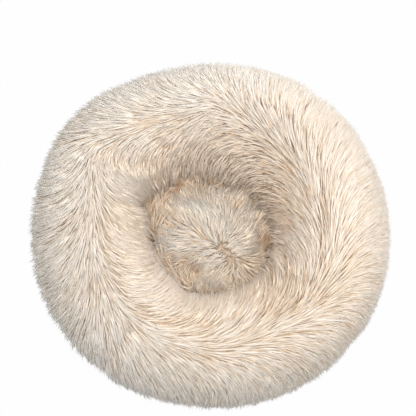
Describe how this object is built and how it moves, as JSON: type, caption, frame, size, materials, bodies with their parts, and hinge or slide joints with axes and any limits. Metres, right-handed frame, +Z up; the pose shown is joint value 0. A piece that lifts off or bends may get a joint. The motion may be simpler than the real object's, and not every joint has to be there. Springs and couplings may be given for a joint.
{
  "type": "donut pet bed",
  "caption": "Round donut pet bed: a stuffed ring of long-pile faux fur round a low fur pad, on a flat cloth base with a hidden cover zip.",
  "frame": {"origin": "on the floor under the middle of the bed", "axes": "+Z up; -Y is the front, nearest the camera in the picture, and +X is the picture's right; the zip is under the back edge, +Y"},
  "size_m": [0.5904, 0.5804, 0.18],
  "materials": {
    "ring_fur": "matte",
    "pad_fur": "matte",
    "oxford_cloth": "matte",
    "liner_cloth": "matte",
    "fibre_fill": "matte",
    "zip_tape": "matte",
    "zip_resin": "satin",
    "zip_metal": "satin"
  },
  "bodies": {
    "bed": {"ring_panel_front": "ring_fur", "ring_panel_right": "ring_fur", "ring_panel_back": "ring_fur", "ring_panel_left": "ring_fur", "pad_cover": "pad_fur", "base_cloth": "oxford_cloth", "ring_liner_top": "liner_cloth", "ring_liner_bottom": "liner_cloth", "ring_fill": "fibre_fill", "pad_liner_top": "liner_cloth", "pad_liner_bottom": "liner_cloth", "pad_fill": "fibre_fill", "zip_tape_outer": "zip_tape", "zip_tape_inner": "zip_tape", "zip_teeth_outer": "zip_resin", "zip_teeth_inner": "zip_resin", "zip_top_stop_outer": "zip_resin", "zip_top_stop_inner": "zip_resin", "zip_bottom_stop": "zip_resin"},
    "slider": {"zip_slider": "zip_metal"},
    "pull": {"zip_pull": "zip_metal"}
  },
  "joints": [
    {"name": "zip_slide", "type": "hinge", "parent": "bed", "child": "slider", "pos_m": [0, 0, 0], "axis": [0, 0, 1], "range_deg": [-65.3, 0], "deforming": ["zip_teeth_outer", "zip_teeth_inner"]},
    {"name": "pull_swing", "type": "hinge", "parent": "slider", "child": "pull", "pos_m": [-0.16264, 0.209, 0.02302], "axis": [-0.3794, 0.4875, 0.7864], "range_deg": [-90, 90]}
  ]
}
